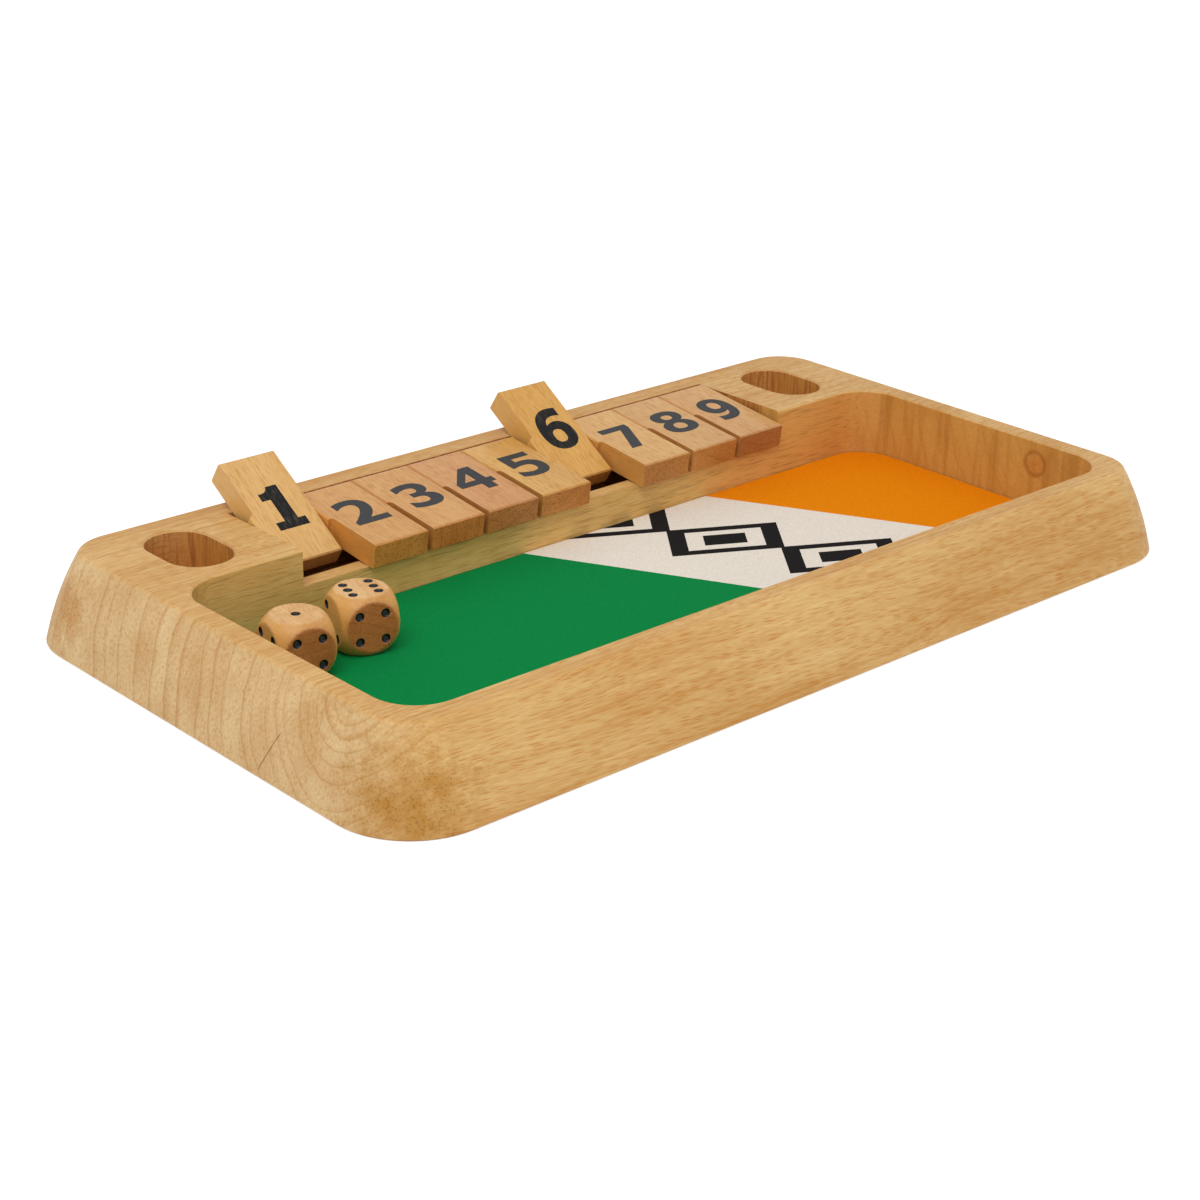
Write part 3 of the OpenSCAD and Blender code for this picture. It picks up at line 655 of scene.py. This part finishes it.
for n in range(1, 10):
    along, up, size = print_places[n - 1]
    flat_digit = ink_mesh(n)
    both = bmesh.new()
    for face, middle in print_middles.items():
        side = Matrix(((1, 0, 0), (0, face, 0), (0, 0, face)))
        start, first_face = len(both.verts), len(both.faces)
        both.from_mesh(flat_digit)
        both.verts.ensure_lookup_table()
        both.faces.ensure_lookup_table()
        for film in both.faces[first_face:]:
            film.material_index = 0 if face == 1 else 1
        for v in both.verts[start:]:
            flat_at = Vector((v.co.x * size + along, v.co.y * size + up, v.co.z + ink_gap))
            v.co = side @ flat_at + Vector((0, middle, face * tile_half_thick))
    bmesh.ops.remove_doubles(both, verts=both.verts, dist=1e-4)
    pivot = Vector((first_x + pitch * (n - 1), pivot_y, pivot_z))
    place = Matrix.Scale(MM, 4) @ Matrix.Translation(pivot) @ Matrix.Rotation(
        tile_turns[n - 1], 4, "X")
    bmesh.ops.transform(both, matrix=place, verts=both.verts)
    number_mesh = bpy.data.meshes.new(f"tile_{n}_number")
    both.to_mesh(number_mesh)
    both.free()
    bpy.data.meshes.remove(flat_digit)
    number_mesh.materials.append(ink_top_painted_reflection)
    number_mesh.materials.append(ink_below)
    number = bpy.data.objects.new(f"tile_{n}_number", number_mesh)
    bpy.context.scene.collection.objects.link(number)
    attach(number, f"tile_{n}")

# ---- Dice ----------------------------------------------------------------------------
# Two wooden dice of 16 mm: sawn cubes, tumbled until every edge was soft, with pips drilled
# by a cone cutter and blackened. Their front and back are end grain, which is darker.

die_half, die_ball, die_worn, die_cells = 8.0, 10.5, 0.14, 96
pip_offset, pip_mouth, pip_rim, pip_floor, pip_deep = 3.5, 1.25, 0.08, 0.8, 0.6
corners = [(-1, -1), (-1, 1), (1, -1), (1, 1)]
# What each side shows and how it is turned from the top: its pips in units of the offset
die_sides = (
    ([(0, 0)], (0, 0, 0)),
    (corners + [(-1, 0), (1, 0)], (180, 0, 0)),
    (corners, (90, 0, 0)),
    ([(-1, 1), (0, 0), (1, -1)], (-90, 0, 0)),
    (corners + [(0, 0)], (0, -90, 0)),
    ([(-1, 1), (1, -1)], (90, 0, 90)),
)
die_places = {"die_left": ((-109.2, 4.45, 12.6), (0, 0, -10)),
              "die_right": ((-86.9, 7.35, 12.6), (0, 180, -15))}


def tumbled_die(name, middle, turn):
    """A die's mesh: a ball and a cube worn into each other, with its pips sunk into it."""
    mesh = bmesh.new()
    inked = mesh.verts.layers.float.new("pip_depth")
    put = Matrix.Scale(MM, 4) @ Matrix.Translation(middle) @ turn.to_matrix().to_4x4()
    for pips, side in die_sides:
        to_side = put @ Euler([math.radians(a) for a in side]).to_matrix().to_4x4()
        grid = []
        for i in range(die_cells + 1):
            row = []
            for j in range(die_cells + 1):
                x, y = (2 * k / die_cells - 1 for k in (i, j))
                # Where the flat side and the ball meet, the tumbling wore 0.1 mm away
                flat_reach = die_half * math.sqrt(1 + x * x + y * y)
                worn = die_worn * math.log(math.exp((die_ball - flat_reach) / die_worn) + 1)
                point = Vector((x, y, 1)).normalized() * (die_ball - worn)
                near = min(math.hypot(point.x - u * pip_offset, point.y - v * pip_offset)
                           for u, v in pips)
                sunk = min(1.0, max(0.0, (pip_mouth + pip_rim - near)
                                    / (pip_mouth + pip_rim - pip_floor)))
                point.z -= pip_deep * sunk * sunk * (3 - 2 * sunk)
                vert = mesh.verts.new(to_side @ point)
                vert[inked] = pip_mouth - near
                row.append(vert)
            grid.append(row)
        for i in range(die_cells):
            for j in range(die_cells):
                face = mesh.faces.new((grid[i][j], grid[i + 1][j], grid[i + 1][j + 1],
                                       grid[i][j + 1]))
                face.smooth = True
    bmesh.ops.remove_doubles(mesh, verts=mesh.verts, dist=1e-6)
    made = bpy.data.meshes.new(f"{name}_tumbled")
    mesh.to_mesh(made)
    mesh.free()
    return made


def die_marks(tree, colour, coords, across):
    """Worn edges and sides yellowed by oil, and pips painted black, with a painted grey
    highlight on their floors.
    """
    most = 0.0
    for axis in "XYZ":
        size = add(tree, "Math", {0: across.outputs[axis]}, operation="ABSOLUTE")
        most = add(tree, "Math", {0: size.outputs[0], 1: most}, operation="MAXIMUM").outputs[0]
    worn = add(tree, "MapRange", {"Value": most, 1: 0.62, 2: 0.86, 3: 0.5, 4: 0.0})
    side = add(tree, "Math", {0: across.outputs["Y"], 1: across.outputs["Y"]},
               operation="MULTIPLY")
    oiled = add(tree, "Math", {0: side.outputs[0], 1: 0.5, 2: worn.outputs[0]},
                operation="MULTIPLY_ADD", use_clamp=True)
    colour = add(tree, "Mix", {0: oiled.outputs[0], 6: colour, 7: from_hex("#DDA04A")},
                 data_type="RGBA").outputs[2]
    depth = add(tree, "Attribute", attribute_name="pip_depth")
    pip = add(tree, "MapRange", {"Value": depth.outputs["Fac"], 1: -0.05, 2: 0.05})
    # Toward the middle of each pip the black turns grey: a painted highlight where the floor
    # catches the light
    floor = add(tree, "MapRange", {"Value": depth.outputs["Fac"], 1: 0.5, 2: 0.8})
    pip_paint_and_highlight = add(tree, "Mix", {0: floor.outputs[0], 6: from_hex("#101012"),
                              7: from_hex("#3A3A3E")}, data_type="RGBA")
    mixed = add(tree, "Mix", {0: pip.outputs[0], 6: colour, 7: pip_paint_and_highlight.outputs[2]},
                data_type="RGBA")
    return mixed.outputs[2]


for name, (middle, degrees) in die_places.items():
    turn = Euler([math.radians(a) for a in degrees])
    die = bpy.data.objects.new(f"{name}_tumbled", tumbled_die(name, middle, turn))
    bpy.context.scene.collection.objects.link(die)
    die.data.materials.append(rubberwood(
        f"oiled_rubberwood_{name}", ("#E8C088", "#CC9450", "#94602E", "#C07238"),
        turn=(0, 0, math.pi / 2 - turn.z), shift=(90 * middle[0], 0, 40),
        heart=(-103, 2), ring=2.6, ring_strength=0.5, vessel=(3.0, 0.34), vessel_strength=0.4,
        pore_strength=0.35, streaks=0.5, shade=die_marks))
    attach(die, name)
    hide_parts(name)

# ---- Studio --------------------------------------------------------------------------
# A pale floor, a broad soft lamp from the upper left, a weaker one from the right, and an
# even white surround. The camera looks down over the front left corner.

floor_half = 3
floor_mesh = bpy.data.meshes.new("studio_floor")
floor_mesh.from_pydata([(x * floor_half, y * floor_half, 0)
                        for x, y in ((-1, -1), (1, -1), (1, 1), (-1, 1))], [], [(0, 1, 2, 3)])
floor = bpy.data.objects.new("studio_floor", floor_mesh)
bpy.context.scene.collection.objects.link(floor)
paper = bpy.data.materials.new("studio_paper")
paper.use_nodes = True
tree = paper.node_tree
tree.nodes.clear()
path = add(tree, "LightPath")
seen = add(tree, "Math", {0: path.outputs["Is Camera Ray"], 1: path.outputs["Is Glossy Ray"]},
           operation="ADD")
seen = add(tree, "Math", {0: seen.outputs[0], 1: path.outputs["Is Transmission Ray"]},
           operation="ADD", use_clamp=True)
# Within 0.2 m of the middle the paper keeps the block's shadow, and past 0.55 m it is plain
# white, so that it has no horizon
coords = add(tree, "TexCoord")
away = add(tree, "VectorMath", {0: coords.outputs["Object"]}, operation="LENGTH")
away = add(tree, "MapRange", {"Value": away.outputs["Value"], 1: 0.2, 2: 0.55, 3: 0.42, 4: 1.0},
           interpolation_type="SMOOTHSTEP")
lift = add(tree, "Math", {0: seen.outputs[0], 1: away.outputs[0]}, operation="MULTIPLY")
matte = add(tree, "BsdfDiffuse", {"Color": from_hex("#E8E8E6")})
glow = add(tree, "Emission", {"Color": (1, 1, 1, 1), "Strength": lift.outputs[0]})
both = add(tree, "AddShader", {0: matte.outputs[0], 1: glow.outputs[0]})
add(tree, "OutputMaterial", {"Surface": both.outputs[0]})
floor_mesh.materials.append(paper)

world = bpy.data.worlds.new("studio_surround")
bpy.context.scene.world = world
world.use_nodes = True
tree = world.node_tree
tree.nodes.clear()
path = add(tree, "LightPath")
seen = add(tree, "Math", {0: path.outputs["Is Camera Ray"], 1: path.outputs["Is Glossy Ray"]},
           operation="ADD", use_clamp=True)
level = add(tree, "MapRange", {"Value": seen.outputs[0], 3: 0.64, 4: 1.0})
surround = add(tree, "Background", {"Color": (1, 1, 1, 1), "Strength": level.outputs[0]})
add(tree, "OutputWorld", {"Surface": surround.outputs[0]})

for name, at, size, watts in (("key_lamp", (-0.55, -0.35, 1.0), 0.7, 6.2),
                              ("fill_lamp", (0.6, -1.0, 0.5), 0.8, 1.3)):
    lamp = bpy.data.lights.new(name, "AREA")
    lamp.energy, lamp.size = watts, size
    holder = bpy.data.objects.new(name, lamp)
    holder.location = at
    holder.rotation_euler = (-Vector(at)).to_track_quat("-Z", "Y").to_euler()
    bpy.context.scene.collection.objects.link(holder)

# Where the photograph was taken from, solved from the block's edges: m, mm and degrees
camera_at, focal_length = (-0.42639, -0.44761, 0.25880), 72.35
azimuth, elevation, roll = (math.radians(a) for a in (-42.886, 23.054, 1.207))
ahead = Vector((-math.sin(azimuth) * math.cos(elevation),
                math.cos(azimuth) * math.cos(elevation), -math.sin(elevation)))
level_right = Vector((math.cos(azimuth), math.sin(azimuth), 0))
level_up = level_right.cross(ahead)
right = level_right * math.cos(roll) + level_up * math.sin(roll)
up = level_up * math.cos(roll) - level_right * math.sin(roll)
camera = bpy.data.objects.new("camera", bpy.data.cameras.new("camera"))
camera.matrix_world = Matrix.Translation(camera_at) @ Matrix(
    (right, up, -ahead)).transposed().to_4x4()
camera.data.lens, camera.data.sensor_width = focal_length, 36
camera.data.clip_start = 0.01
bpy.context.scene.collection.objects.link(camera)
bpy.context.scene.camera = camera
bpy.context.scene.view_settings.view_transform = "Standard"
